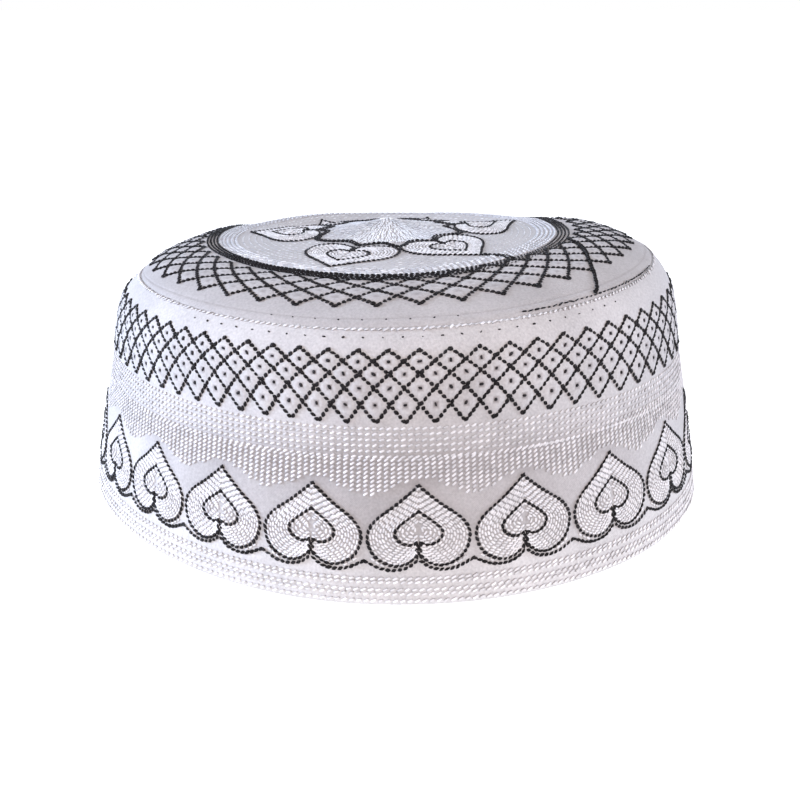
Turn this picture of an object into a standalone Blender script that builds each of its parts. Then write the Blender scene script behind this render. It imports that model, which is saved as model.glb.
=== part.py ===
"""A white prayer cap: a flared side band and the domed disc sewn into its top, both of doubled cloth.

Metres, +Z up. The cap stands on its open rim, and its front faces -Y.
Its origin is the middle of its footprint.
"""

import math

import bmesh
import bpy

# Driving sizes
HEAD_SIZE = 0.5812  # the girth that the open rim takes, a size 58 cap
WALL = 0.002  # doubled cloth with its embroidery
SEAM_GAP = 0.0003  # between the two solids at the seam
RIM_RADIUS = HEAD_SIZE / math.tau + WALL

# The outer line of the cap from rim to middle: radius and height of each point that shapes it
SIDE_LINE = (
    (RIM_RADIUS, 0.0),
    (0.0910, 0.0201),
    (0.0872, 0.0401),
    (0.0845, 0.0558),
    (0.0820, 0.0624),  # the shoulder turns in here
    (0.0777, 0.0669),  # the seam
)
CROWN_LINE = (
    (0.0735, 0.0695),
    (0.0684, 0.0717),
    (0.0605, 0.0731),
    (0.0535, 0.0736),  # the low ridge under the black ring
    (0.0440, 0.0736),
    (0.0295, 0.0743),
    (0.0150, 0.0753),  # the foot of the small peak
    (0.0, 0.0785),
)

# How the worn cap leaves a turned shape. Each row: waves round the cap, its move at the front, at the right
RIM_OUTLINE = (
    (1, 0.0, -0.0004),
    (2, -0.0005, 0.0008),
    (3, -0.0004, 0.0008),
    (4, 0.0006, -0.0007),
)
SEAM_OUTLINE = (
    (1, 0.0007, -0.0001),
    (2, 0.0001, -0.0004),
)
SEAM_TILT = ((1, 0.0031, 0.0019),)  # the whole crown sinks to the back and the left
SEAM_SADDLE = ((2, -0.0016, -0.0001),)  # its edge also dips at the front and back
MIDDLE_SHIFT = (-0.0029, 0.0045)  # the middle of the disc sits off the cap's axis
SHIFT_POWER = 6  # and that shift dies out only near the seam

# Mesh fineness
AROUND = 64
SIDE_ROWS = 10
CROWN_ROWS = 14
CURVE_STEPS = 24  # straight steps that the cap's line takes between two of its points
SEAM_INDEX = (len(SIDE_LINE) - 1) * CURVE_STEPS

CLOTH_COLOR = (0.80, 0.79, 0.82, 1.0)
CLOTH_ROUGHNESS = 0.8


def clear_scene():
    for obj in list(bpy.data.objects):
        bpy.data.objects.remove(obj, do_unlink=True)


def cloth_material(name):
    material = bpy.data.materials.new(name)
    material.use_nodes = True
    shader = material.node_tree.nodes["Principled BSDF"]
    shader.inputs["Base Color"].default_value = CLOTH_COLOR
    shader.inputs["Roughness"].default_value = CLOTH_ROUGHNESS
    shader.inputs["Metallic"].default_value = 0.0
    return material


def waves(table, angle):
    """The sum of a table's waves at an angle that runs from the front, 0, to the right, a quarter turn."""
    return sum(front * math.cos(n * angle) + right * math.sin(n * angle) for n, front, right in table)


def cap_line():
    """The cap's outer line as a fine polyline through its points, a Catmull-Rom curve."""
    points = SIDE_LINE + CROWN_LINE
    first = [2 * a - b for a, b in zip(points[0], points[1])]
    last = [2 * a - b for a, b in zip(points[-1], points[-2])]
    padded = [first, *points, last]
    line = []
    for p0, p1, p2, p3 in zip(padded, padded[1:], padded[2:], padded[3:]):
        for step in range(CURVE_STEPS):
            t = step / CURVE_STEPS
            t2 = t * t
            blend = (t * (t * (2 - t) - 1), t2 * (3 * t - 5) + 2, t * (t * (4 - 3 * t) + 1), t2 * (t - 1))
            point = [sum(b * c for b, c in zip(blend, axis)) / 2 for axis in zip(p0, p1, p2, p3)]
            line.append(tuple(point))
    return [*line, points[-1]]


def shifted(point, direction, distance):
    """The point moved by a distance along a direction, which may have any length."""
    length = math.hypot(*direction)
    return tuple(a + distance * b / length for a, b in zip(point, direction))


def wall_section(line, start, end, rows):
    """The outer and inner points of the wall between two indices of the cap's line, at even distances."""
    reach = [0.0]
    for a, b in zip(line[start:end], line[start + 1 : end + 1]):
        reach.append(reach[-1] + math.dist(a, b))
    outer, inner = [], []
    for row in range(rows + 1):
        goal = reach[-1] * row / rows
        i = start + min(range(len(reach)), key=lambda k: abs(reach[k] - goal))
        before, after = line[max(i - 1, 0)], line[min(i + 1, len(line) - 1)]
        along = (after[0] - before[0], after[1] - before[1])
        point = line[i]
        if i == SEAM_INDEX:  # both solids stop half a gap short of the seam
            point = shifted(point, along, -0.5 * SEAM_GAP if row else 0.5 * SEAM_GAP)
        outer.append(point)
        inner.append(shifted(point, (-along[1], along[0]), WALL))
    return outer, inner


def worn(radius, height, angle):
    """Moves a point of the turned shape to where the worn cap has it, and gives it as x, y, z."""
    seam_radius, seam_height = SIDE_LINE[-1]
    up = min(height / seam_height, 1.0)
    out = min(radius / seam_radius, 1.0)
    radius += (1 - up) * waves(RIM_OUTLINE, angle) + up * out * waves(SEAM_OUTLINE, angle)
    height += up * out * waves(SEAM_TILT, angle) + up * out**2 * waves(SEAM_SADDLE, angle)
    shift = 1 - out**SHIFT_POWER
    return (
        radius * math.sin(angle) + shift * MIDDLE_SHIFT[0],
        -radius * math.cos(angle) + shift * MIDDLE_SHIFT[1],
        height,
    )


def footprint_middle():
    """The middle of the rim's outline, which becomes the origin."""
    rim = [worn(RIM_RADIUS, 0.0, math.tau * k / AROUND) for k in range(AROUND)]
    return [(min(p[axis] for p in rim) + max(p[axis] for p in rim)) / 2 for axis in (0, 1)]


def turned(name, section, material, collection):
    """A solid from a closed (radius, height) section: turned round the axis, then moved to the worn shape."""
    bm = bmesh.new()
    corners = [bm.verts.new((0.0, -radius, height)) for radius, height in section]
    edges = [bm.edges.new((a, b)) for a, b in zip(corners, corners[1:])]
    if section[0][0] > WALL:  # a section that does not end on the axis is closed on itself
        edges.append(bm.edges.new((corners[-1], corners[0])))
    outline = corners + edges
    bmesh.ops.spin(bm, geom=outline, cent=(0, 0, 0), axis=(0, 0, 1), angle=math.tau, steps=AROUND)
    bmesh.ops.remove_doubles(bm, verts=bm.verts, dist=1e-6)
    middle = footprint_middle()
    for vert in bm.verts:
        radius = math.hypot(vert.co.x, vert.co.y)
        angle = math.atan2(vert.co.x, -vert.co.y) if radius > 1e-6 else 0.0
        x, y, z = worn(radius, vert.co.z, angle)
        vert.co = (x - middle[0], y - middle[1], z)
    bmesh.ops.recalc_face_normals(bm, faces=bm.faces)
    mesh = bpy.data.meshes.new(name)
    bm.to_mesh(mesh)
    bm.free()
    mesh.materials.append(material)
    mesh.shade_smooth()
    mesh.set_sharp_from_angle(angle=math.radians(40))
    obj = bpy.data.objects.new(name, mesh)
    collection.objects.link(obj)
    return obj


def side_band(collection):
    """The strip round the head, ring-shaped, with a flat rim to stand on."""
    outer, inner = wall_section(cap_line(), 0, SEAM_INDEX, SIDE_ROWS)
    inner[0] = (outer[0][0] - WALL, 0.0)  # the rim is flat
    return turned("side_band", outer + inner[::-1], cloth_material("side_cloth"), collection)


def crown_top(collection):
    """The disc sewn into the band, domed, with a small peak in the middle."""
    line = cap_line()
    outer, inner = wall_section(line, SEAM_INDEX, len(line) - 1, CROWN_ROWS)
    inner[-1] = (0.0, outer[-1][1] - WALL)
    return turned("crown_top", outer[::-1] + inner, cloth_material("crown_cloth"), collection)


def main():
    clear_scene()
    cap = bpy.data.collections.new("prayer_cap")
    bpy.context.scene.collection.children.link(cap)
    side_band(cap)
    crown_top(cap)


main()
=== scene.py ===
# %% [markdown]
# # A white prayer cap with black chain stitch
#
# The object is a soft prayer cap: a strip of stiffened white cloth sewn into a ring, and a disc sewn into
# the top of it. Nearly all that the eye meets is thread. Black chain stitch draws diamonds, hearts and
# rings, and glossy white thread fills the spaces between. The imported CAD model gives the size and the
# plain form, and this notebook makes the cloth and the stitches over it.

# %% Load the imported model
import math

import bmesh
import bpy
import numpy as np
from mathutils import Matrix, Vector, noise


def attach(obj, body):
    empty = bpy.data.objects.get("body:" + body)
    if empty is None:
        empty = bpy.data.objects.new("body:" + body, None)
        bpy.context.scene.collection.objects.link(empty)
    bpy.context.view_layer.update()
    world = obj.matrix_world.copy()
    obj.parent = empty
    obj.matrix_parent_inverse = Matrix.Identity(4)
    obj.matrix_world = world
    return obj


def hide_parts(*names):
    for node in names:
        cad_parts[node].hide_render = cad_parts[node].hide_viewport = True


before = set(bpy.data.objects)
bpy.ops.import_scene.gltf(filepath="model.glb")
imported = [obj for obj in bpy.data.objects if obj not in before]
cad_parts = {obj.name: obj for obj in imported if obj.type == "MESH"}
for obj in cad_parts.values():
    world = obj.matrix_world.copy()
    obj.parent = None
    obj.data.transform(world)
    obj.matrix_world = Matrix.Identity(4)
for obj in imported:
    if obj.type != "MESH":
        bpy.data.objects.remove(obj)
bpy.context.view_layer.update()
MM = 0.001

# %% [markdown]
# ## The camera
#
# The picture was taken from the front and a little above, about a third of a metre away, with the cap
# standing on its rim. A short distance matters more than the lens: it makes the far side of the rim bow
# down and the top foreshorten. So the place comes first, and the lens then frames the cap.

# %% Camera
CAMERA_PLACE = (0.0012, -0.3387, 0.1474)
CAMERA_PITCH = math.radians(69.35)
CAMERA_LENS = 49.96
CAMERA_SHIFT = 0.0044


def placed(name, data):
    """A new object with this data, in the scene."""
    thing = bpy.data.objects.new(name, data)
    bpy.context.scene.collection.objects.link(thing)
    return thing


camera_data = bpy.data.cameras.new("camera")
camera_data.lens = CAMERA_LENS
camera_data.sensor_width = 36.0
camera_data.shift_x = CAMERA_SHIFT
camera_data.clip_start = 0.01
camera = placed("camera", camera_data)
camera.location = CAMERA_PLACE
camera.rotation_euler = (CAMERA_PITCH, 0.0, 0.0)
bpy.context.scene.camera = camera
print("camera", round(math.dist(CAMERA_PLACE, (0, 0, 0.04)), 3), "m from the middle of the cap")

# %% [markdown]
# ## The form of the cap
#
# A cap like this is a turned shape that has been worn and packed. One line from the rim to the middle of
# the top, spun round, gives the turned shape. A few low waves then push the rim out of round and tilt the
# crown. The same numbers made the CAD solids, so everything that is placed with them lies on the cloth.
# One thing is added here: the soft edge of the crown has sunk by about two millimetres along the back and
# at the left shoulder, and so has the disc just behind its peak, while it swells by one at the back left.
# A place on the cap is given by two numbers only: the angle from the front, and the way up the cloth from
# the rim.

# %% The line of the cap and how it is worn
RIM_RADIUS = 0.5812 / math.tau + 0.002
WALL = 0.002
SIDE_LINE = (
    (RIM_RADIUS, 0.0),
    (0.0910, 0.0201),
    (0.0872, 0.0401),
    (0.0845, 0.0558),
    (0.0820, 0.0624),
    (0.0777, 0.0669),
)
CROWN_LINE = (
    (0.0735, 0.0695),
    (0.0684, 0.0717),
    (0.0605, 0.0731),
    (0.0535, 0.0736),
    (0.0440, 0.0736),
    (0.0295, 0.0743),
    (0.0150, 0.0753),
    (0.0, 0.0785),
)
CURVE_STEPS = 24  # short steps between two points of these lines
# Each row: waves round the cap, its move at the front, its move at the right
RIM_OUTLINE = ((1, 0.0, -0.0004), (2, -0.0005, 0.0008), (3, -0.0004, 0.0008), (4, 0.0006, -0.0007))
SEAM_OUTLINE = ((1, 0.0007, -0.0001), (2, 0.0001, -0.0004))
SEAM_TILT = ((1, 0.0031, 0.0019),)
SEAM_SADDLE = ((2, -0.0016, -0.0001),)
MIDDLE_SHIFT = (-0.0029, 0.0045)
SHIFT_POWER = 6
# How far the crown has sunk or swelled, in metres
BACK_SINK = 0.0023
LEFT_SINK = 0.0020
BACK_SWELL = 0.0011
BACK_DIP = 0.0025


def waves(table, angle):
    """The sum of a table's waves at an angle from the front, positive to the right."""
    return sum(front * np.cos(n * angle) + right * np.sin(n * angle) for n, front, right in table)


def smooth_through(points, steps):
    """A smooth curve through a list of points, with this many short steps between two of them."""
    p = np.asarray(points, float)
    p = np.vstack([2 * p[0] - p[1], p, 2 * p[-1] - p[-2]])
    t = np.linspace(0, 1, steps, endpoint=False)[:, None]
    weights = (t * (t * (2 - t) - 1), t * t * (3 * t - 5) + 2, t * (t * (4 - 3 * t) + 1), t * t * (t - 1))
    parts = [sum(w * q for w, q in zip(weights, p[i : i + 4])) / 2 for i in range(len(p) - 3)]
    return np.vstack([*parts, p[-2:-1]])


def eased(value, start, end):
    """0 up to the start and 1 from the end on, with a soft step between."""
    t = np.clip((value - start) / (end - start), 0, 1)
    return t * t * (3 - 2 * t)


def near_angle(angle, degrees, width):
    """1 at an angle in degrees, falling softly to 0 on both sides of it."""
    away = (np.degrees(angle) - degrees + 180) % 360 - 180
    return np.exp(-((away / width) ** 2))


def sunk(radius, up, angle):
    """How far the crown has sunk: its edge at the back and left and a dip behind the peak, less a swell."""
    back = eased(-np.cos(angle), 0.35, 0.6) * eased(radius, 0.048, 0.058)
    dip = eased(-np.cos(angle), 0.35, 0.75) * np.exp(-(((radius - 0.038) / 0.008) ** 2))
    left = near_angle(angle, -101, 27) * eased(radius, 0.052, 0.071)
    swell = near_angle(angle, -148, 22) * np.exp(-(((radius - 0.046) / 0.009) ** 2))
    return up**4 * (BACK_SINK * back + LEFT_SINK * left + BACK_DIP * dip - BACK_SWELL * swell)


def worn(radius, height, angle):
    """Moves points of the turned shape to where the worn cap has them."""
    seam_radius, seam_height = SIDE_LINE[-1]
    up = np.minimum(height / seam_height, 1.0)
    out = np.minimum(radius / seam_radius, 1.0)
    radius = radius + (1 - up) * waves(RIM_OUTLINE, angle) + up * out * waves(SEAM_OUTLINE, angle)
    sink = sunk(radius, up, angle)
    height = height + up * out * waves(SEAM_TILT, angle) + up * out**2 * waves(SEAM_SADDLE, angle) - sink
    radius = radius - 0.4 * sink
    shift = 1 - out**SHIFT_POWER
    x = radius * np.sin(angle) + shift * MIDDLE_SHIFT[0]
    y = -radius * np.cos(angle) + shift * MIDDLE_SHIFT[1]
    return np.stack([x, y, height], axis=-1)


CAP_LINE = smooth_through(SIDE_LINE + CROWN_LINE, CURVE_STEPS)
REACH = np.concatenate([[0.0], np.cumsum(np.hypot(*np.diff(CAP_LINE, axis=0).T))])
SEAM = REACH[(len(SIDE_LINE) - 1) * CURVE_STEPS]
SEAM_RADIUS = SIDE_LINE[-1][0] / MM
MIDDLE = REACH[-1]
rim = worn(RIM_RADIUS, np.zeros(64), math.tau * np.arange(64) / 64)
FOOTPRINT_MIDDLE = np.append((rim.min(axis=0) + rim.max(axis=0))[:2] / 2, 0.0)
print("way up the cloth in mm: seam", round(SEAM / MM, 1), "and middle of the top", round(MIDDLE / MM, 1))

# %% [markdown]
# ## From a place on the cap to a place in space
#
# Every stitch needs three directions: round the cap, up the cloth, and out of it. They come from two
# short steps on the surface and the cross product of the two. Writing this once keeps the thread on the
# cloth wherever the cap is bent.

# %% Places and directions on the cap


def unit(vectors):
    """Vectors of length one."""
    return vectors / np.maximum(np.linalg.norm(vectors, axis=-1, keepdims=True), 1e-12)


def on_cap(angle, way_up):
    """The place on the outer face of the cloth, from an angle in radians and a way up in metres."""
    way_up = np.clip(way_up, 0.0, MIDDLE)
    radius = np.interp(way_up, REACH, CAP_LINE[:, 0])
    height = np.interp(way_up, REACH, CAP_LINE[:, 1])
    return worn(radius, height, angle) - FOOTPRINT_MIDDLE


def directions(angle, way_up):
    """The unit vectors round the cap, up its cloth and out of it."""
    turn, step = 0.002, 0.8 * MM
    way_up = np.minimum(way_up, MIDDLE - 2 * step)
    round_it = unit(on_cap(angle + turn, way_up) - on_cap(angle - turn, way_up))
    up_it = unit(on_cap(angle, way_up + step) - on_cap(angle, way_up - step))
    return round_it, up_it, unit(np.cross(round_it, up_it))


def way_to_radius(radius):
    """The way up the cloth at which the turned shape has this radius."""
    return np.interp(-radius, -CAP_LINE[:, 0], REACH)


print("the peak is at", (on_cap(0.0, MIDDLE) / MM).round(1))

# %% [markdown]
# ## The layout of the diamonds
#
# The side carries a band of diamonds and so does the disc. Both are two and a half diamonds high. On a
# real cap the machine's rows drift, so the rows are counted evenly round the cap and a few waves then
# move the count to where the thread went. A column is half a diamond's width and a row is half its
# height.

# %% Diamonds on the side and on the disc
SIDE_DIAMONDS = 69
SIDE_START = 3.72
SIDE_DRIFT = (2.48, ((1, -0.83, -0.16), (2, -1.53, -0.21)))
SIDE_TIP = (63.3, ((1, 0.1, -1.5), (2, 0.5, 0.5)))
SIDE_SHEAR = (0.0, ((1, 0.042, -0.071), (2, -0.030, -0.047), (3, 0.009, -0.021)))
SIDE_ROW_DEPTH = (0.0, 2.8, 5.7, 9.1, 13.2, 17.7)
DISC_DIAMONDS = 43
DISC_START = 5.2
DISC_DRIFT = (1.28, ((1, 0.05, -0.10), (2, -0.18, 0.91), (3, -0.85, -0.14)))
DISC_TIP = (72.8, ((1, -0.65, -0.27), (2, -1.15, -0.76), (3, 0.80, 0.10)))
DISC_INNER = (57.2, ((1, -0.16, -0.26), (2, -0.20, -0.65), (3, 0.67, -0.98)))
ROWS = 5


def level(table, degrees):
    """A middle value with waves on it."""
    return table[0] + waves(table[1], np.radians(degrees))


def side_place(turn, depth):
    """Angle in degrees and way up in mm, from an even count round the cap and mm below the tips."""
    angle = turn + level(SIDE_DRIFT, turn) + level(SIDE_SHEAR, turn) * np.clip(depth, 0, 20)
    return angle, level(SIDE_TIP, turn) - depth


def side_diamond(column, row):
    """Angle and way up of a point of the side's diamonds."""
    turn = SIDE_START + column * 180 / SIDE_DIAMONDS
    return side_place(turn, np.interp(row, range(ROWS + 1), SIDE_ROW_DEPTH))


def disc_turn(turn):
    """The angle on the disc from an even count round it."""
    return turn + level(DISC_DRIFT, turn)


def disc_diamond(column, row):
    """Angle and way up of a point of the disc's diamonds, whose tips point out."""
    turn = DISC_START + column * 180 / DISC_DIAMONDS
    outer, inner = level(DISC_TIP, turn), level(DISC_INNER, turn)
    radius = outer + (inner - outer) * row / ROWS
    return disc_turn(turn), way_to_radius(radius * MM) / MM


def diamond_puff(column, row):
    """0 on the lines of the diamonds and outside them, 1 in the middle of each."""
    puff = np.abs(np.sin(math.pi / 2 * (column + row)) * np.sin(math.pi / 2 * (column - row)))
    from_tip = np.abs(column - 2 * np.round(column / 2))
    inside = (row >= from_tip) & (ROWS - row >= 1 - from_tip)
    return np.where(inside, puff**0.8, 0.0)


def diamond_middles(column, row):
    """True at the corners in the middles of the diamonds, where column and row add up to an odd number."""
    whole = (np.abs(column - np.round(column)) < 0.05) & (np.abs(row - np.round(row)) < 0.05)
    return whole & (np.round(column + row) % 2 == 1) & (diamond_puff(column, row) > 0.5)


print(SIDE_DIAMONDS, "diamonds round the side and", DISC_DIAMONDS, "on the disc")

# %% [markdown]
# ## The cloth
#
# The real cap is two layers of cotton over a stiff interlining, quilted by the stitches, so each diamond
# swells between its lines and has a pricked dimple in its middle. Each cloth piece is spun from the cap's
# line, which gives even rows and columns, and its corners are then moved: first to the worn form, then
# outwards for the quilting. The columns are eight to a diamond, so a corner always falls on the middle of
# a diamond. Solidify gives the wall, on the inside only, so that the outside stays where the CAD has it.

# %% Spin a sheet and quilt it
# In mm: how far the diamonds swell, how deep their dimples are, how far a cloth dives under at the seam
SIDE_PUFF = 0.75
DISC_PUFF = 0.55
SIDE_DIMPLE = 0.7
DISC_DIMPLE = 0.3
SEAM_TUCK = 0.35
# The slow ripple of each cloth: its height in mm, the size of its waves in metres, its seed
SIDE_RIPPLE = (0.22, 0.03, 1)
DISC_RIPPLE = (0.25, 0.022, 2)


def ripple(places, kind):
    """How far the slow ripple lifts the cloth at these places, in mm."""
    height, size, seed = kind
    shift = Vector((seed * 7.3, seed * 3.1, seed * 5.7))
    return height * np.array([noise.noise(Vector(p) / size + shift) for p in places])


def spun_sheet(ways_up, columns):
    """A sheet spun from the cap's line at these ways up, with the turn and way up of each corner."""
    bm = bmesh.new()
    radii = np.interp(ways_up, REACH, CAP_LINE[:, 0])
    heights = np.interp(ways_up, REACH, CAP_LINE[:, 1])
    line = [bm.verts.new((0.0, -r, z)) for r, z in zip(radii, heights)]
    line += [bm.edges.new(pair) for pair in zip(line, line[1:])]
    bmesh.ops.spin(
        bm, geom=line, cent=(0, 0, 0), axis=(0, 0, 1), angle=math.tau, steps=columns, use_merge=True
    )
    bmesh.ops.remove_doubles(bm, verts=bm.verts, dist=1e-6)
    bmesh.ops.recalc_face_normals(bm, faces=bm.faces)
    bm.normal_update()
    first = next(iter(bm.faces))
    if first.normal.dot(first.calc_center_median()) < 0:
        bmesh.ops.reverse_faces(bm, faces=bm.faces)
    corners = np.array([v.co for v in bm.verts])
    turns = np.degrees(np.arctan2(corners[:, 0], -corners[:, 1]))
    return bm, turns, way_to_radius(np.hypot(corners[:, 0], corners[:, 1])) / MM


def crease_along_valleys(bm, push):
    """Splits each quilted face between its two lower corners, so that the lines lie in clean valleys."""
    bm.verts.ensure_lookup_table()
    for face in list(bm.faces):
        corners = list(face.verts)
        heights = [push[v.index] for v in corners]
        if len(corners) == 4 and max(heights) - min(heights) > 0.05:
            first = 0 if heights[0] + heights[2] < heights[1] + heights[3] else 1
            bmesh.utils.face_split(face, corners[first], corners[first + 2])


def finish_sheet(name, bm, angles, ways, push, painted_shades, flat_map):
    """A spun sheet as an object, its corners moved to the worn cap, with its flat map and its painted shade.
    """
    places = on_cap(np.radians(angles), ways * MM)
    places += directions(np.radians(angles), ways * MM)[2] * (push * MM)[:, None]
    for vert, place in zip(bm.verts, places):
        vert.co = place
    bm.verts.index_update()
    crease_along_valleys(bm, push)
    mesh = bpy.data.meshes.new(name)
    bm.to_mesh(mesh)
    bm.free()
    mesh.shade_smooth()
    # The painted shade of each corner, kept as an attribute for the cotton
    painted_shade = mesh.attributes.new("painted_shade", "FLOAT", "POINT")
    painted_shade.data.foreach_set("value", painted_shades.astype(np.float32))
    corner_verts = np.zeros(len(mesh.loops), np.int32)
    mesh.loops.foreach_get("vertex_index", corner_verts)
    corner_faces = np.repeat(np.arange(len(mesh.polygons)), [p.loop_total for p in mesh.polygons])
    flat = flat_map(corner_faces, corner_verts)
    mesh.uv_layers.new(name="cloth").data.foreach_set("uv", flat.astype(np.float32).ravel())
    piece = placed(name, mesh)
    wall = piece.modifiers.new("wall", "SOLIDIFY")
    wall.thickness = WALL * 0.95
    wall.offset = -1.0
    print(name, len(mesh.vertices), "corners,", len(mesh.polygons), "faces")
    return piece


# %% [markdown]
# ### The side
#
# A flared strip, sewn into a ring. Its rows are finest where the diamonds are. Below the diamonds the
# cloth is flat, and only a slow ripple is left, as the stiffened cloth of a folded cap keeps. The last
# row dives under the edge of the disc.

# %% Side cloth
COLUMNS_PER_DIAMOND = 8
FLAT_RADIUS = 0.087  # the side's mean radius, for its map
lattice_ways = SIDE_TIP[0] - np.interp(np.arange(0, ROWS + 0.01, 0.25), range(ROWS + 1), SIDE_ROW_DEPTH)
hem_ways, wall_ways = np.linspace(0, 9, 9), np.arange(10.5, 45, 1.6)
shoulder_ways = (64.4, 65.7, 67.0, 68.1, 68.8, 69.3)
side_ways = np.concatenate([hem_ways, wall_ways, lattice_ways[::-1], shoulder_ways])
side_columns = SIDE_DIAMONDS * COLUMNS_PER_DIAMOND
side_bm, side_turns, side_up = spun_sheet(np.append(side_ways * MM, SEAM), side_columns)
side_turns = side_turns + SIDE_START
in_band = np.clip((side_up - 34) / 10, 0, 1) * np.clip((SEAM / MM - side_up) / 4, 0, 1)
side_depth = SIDE_TIP[0] - side_up
band_angle, band_way = side_place(side_turns, side_depth)
side_angles = side_turns + (band_angle - side_turns) * np.clip((side_up - 20) / 20, 0, 1)
side_heights = side_up + (band_way - side_up) * in_band
side_column = (side_turns - SIDE_START) * SIDE_DIAMONDS / 180
side_row = np.interp(side_depth, SIDE_ROW_DEPTH, range(ROWS + 1), left=-1, right=ROWS + 1)
side_puff = diamond_puff(side_column, side_row)
side_middle = diamond_middles(side_column, side_row)
side_ripple = ripple(on_cap(np.radians(side_angles), side_heights * MM), SIDE_RIPPLE)
side_push = SIDE_PUFF * side_puff + side_ripple - SIDE_DIMPLE * side_middle
side_push -= SEAM_TUCK * np.clip((side_up - 69.0) / 0.7, 0, 1) ** 2
side_push -= 0.25 * np.clip(1 - side_up / 1.0, 0, 1)
# Painted shade on the cloth: in the dimples, between the field's stitches, and at the front between the
# hearts
under_field = np.clip((side_up - 29.5) / 2, 0, 1) * np.clip((38.5 - side_up) / 1.5, 0, 1)
greyer = eased(side_up, 9.0, 20.0) * eased(-side_up, -44.0, -36.0)
greyer = greyer * eased(np.cos(np.radians(side_angles)), 0.45, 0.95)
side_painted_shade = 0.75 * side_middle + 0.09 * under_field + 0.23 * greyer


def strip_map(faces, corners):
    """The strip laid out flat, in metres. A face across the join counts on past it."""
    turn = side_turns[corners]
    first = turn[np.searchsorted(faces, faces)]
    turn = turn + 360 * np.round((first - turn) / 360)
    return np.stack([np.radians(turn) * FLAT_RADIUS, side_up[corners] * MM], axis=-1)


side_cloth = finish_sheet("side_cloth", side_bm, side_angles, side_heights, side_push, side_painted_shade, strip_map)

# %% [markdown]
# ### The disc
#
# The disc is sewn inside the ring of the side. It swells a little into the shoulder, sinks inside the
# black rings and comes to a small peak, because the dense thread in the middle draws the cloth together.

# %% Disc cloth
CREASE_RADIUS = 76.1
edge_radii = (76.8, 76.35, CREASE_RADIUS, 75.85, 75.2, 74.0)
lattice_radii = np.linspace(DISC_TIP[0], DISC_INNER[0], ROWS * 4 + 1)
disc_radii = np.concatenate([edge_radii, lattice_radii, np.linspace(56, 2, 36), [1.0, 0.0]])
disc_ways = np.concatenate([[SEAM, SEAM + 0.35 * MM], way_to_radius(disc_radii * MM)])
disc_bm, disc_turns, disc_up = spun_sheet(disc_ways, DISC_DIAMONDS * COLUMNS_PER_DIAMOND)
disc_turns = disc_turns + DISC_START
disc_radius = np.interp(disc_up * MM, REACH, CAP_LINE[:, 0]) / MM
disc_outer, disc_inner = level(DISC_TIP, disc_turns), level(DISC_INNER, disc_turns)
disc_row = (DISC_TIP[0] - disc_radius) / (DISC_TIP[0] - DISC_INNER[0]) * ROWS
disc_column = (disc_turns - DISC_START) * DISC_DIAMONDS / 180
near_lattice = np.clip((disc_radius - 45) / 10, 0, 1) * np.clip((SEAM_RADIUS - disc_radius) / 4, 0, 1)
wanted_radius = disc_outer + (disc_inner - disc_outer) * disc_row / ROWS
disc_angles = disc_turns + level(DISC_DRIFT, disc_turns) * np.clip(disc_radius / 40, 0, 1)
moved_radius = disc_radius + (wanted_radius - disc_radius) * near_lattice
disc_heights = way_to_radius(moved_radius * MM) / MM
disc_puff = diamond_puff(disc_column, disc_row)
disc_middle = diamond_middles(disc_column, disc_row)
disc_ripple = ripple(on_cap(np.radians(disc_angles), disc_heights * MM), DISC_RIPPLE)
disc_push = DISC_PUFF * disc_puff + disc_ripple * np.clip(disc_radius / 12, 0, 1) - DISC_DIMPLE * disc_middle
disc_push -= SEAM_TUCK * np.clip((disc_radius - 76.8) / 0.8, 0, 1) ** 2
crease = np.abs(disc_radius - CREASE_RADIUS) < 0.1
disc_push -= 0.12 * crease
# Painted shade on the disc: a little over all of it, more in the dimples and in the crease
disc_painted_shade = 0.21 + 0.3 * disc_middle + 0.14 * crease


def disc_map(faces, corners):
    """The disc laid out flat, in metres."""
    turn, radius = np.radians(disc_turns[corners]), (MIDDLE - disc_up[corners] * MM)
    return np.stack([radius * np.sin(turn), -radius * np.cos(turn)], axis=-1)


disc_cloth = finish_sheet("disc_cloth", disc_bm, disc_angles, disc_heights, disc_push, disc_painted_shade, disc_map)

# %% [markdown]
# ## The two stitches
#
# The black lines are chain stitch: each stitch is a loop of thread that the next one comes up through.
# The white fillings are long glossy stitches that lie side by side. Both are modelled once, with few
# faces, because thousands of them follow. The loop is a small triangle spun into a ring and pulled long,
# and the white stitch is a slim sphere.

# %% Model one black link and one white stitch


def stitch_object(name, bm):
    """A stitch as an object, one unit long, along X. Its attribute 'crown' runs from 0 below to 1 on top."""
    mesh = bpy.data.meshes.new(name)
    bm.to_mesh(mesh)
    bm.free()
    mesh.shade_smooth()
    # The crown attribute later drives the threads' painted highlight and painted shade
    heights = np.array([v.co.z for v in mesh.vertices])
    crown = (heights - heights.min()) / np.ptp(heights)
    mesh.attributes.new("crown", "FLOAT", "POINT").data.foreach_set("value", crown)
    stitch = placed(name, mesh)
    print(name, len(mesh.polygons), "faces")
    return stitch


def turn_all(bm, degrees, axis):
    """Turns all of a bmesh about the origin."""
    turn = Matrix.Rotation(math.radians(degrees), 3, axis)
    bmesh.ops.rotate(bm, verts=bm.verts, cent=(0, 0, 0), matrix=turn)


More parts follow.
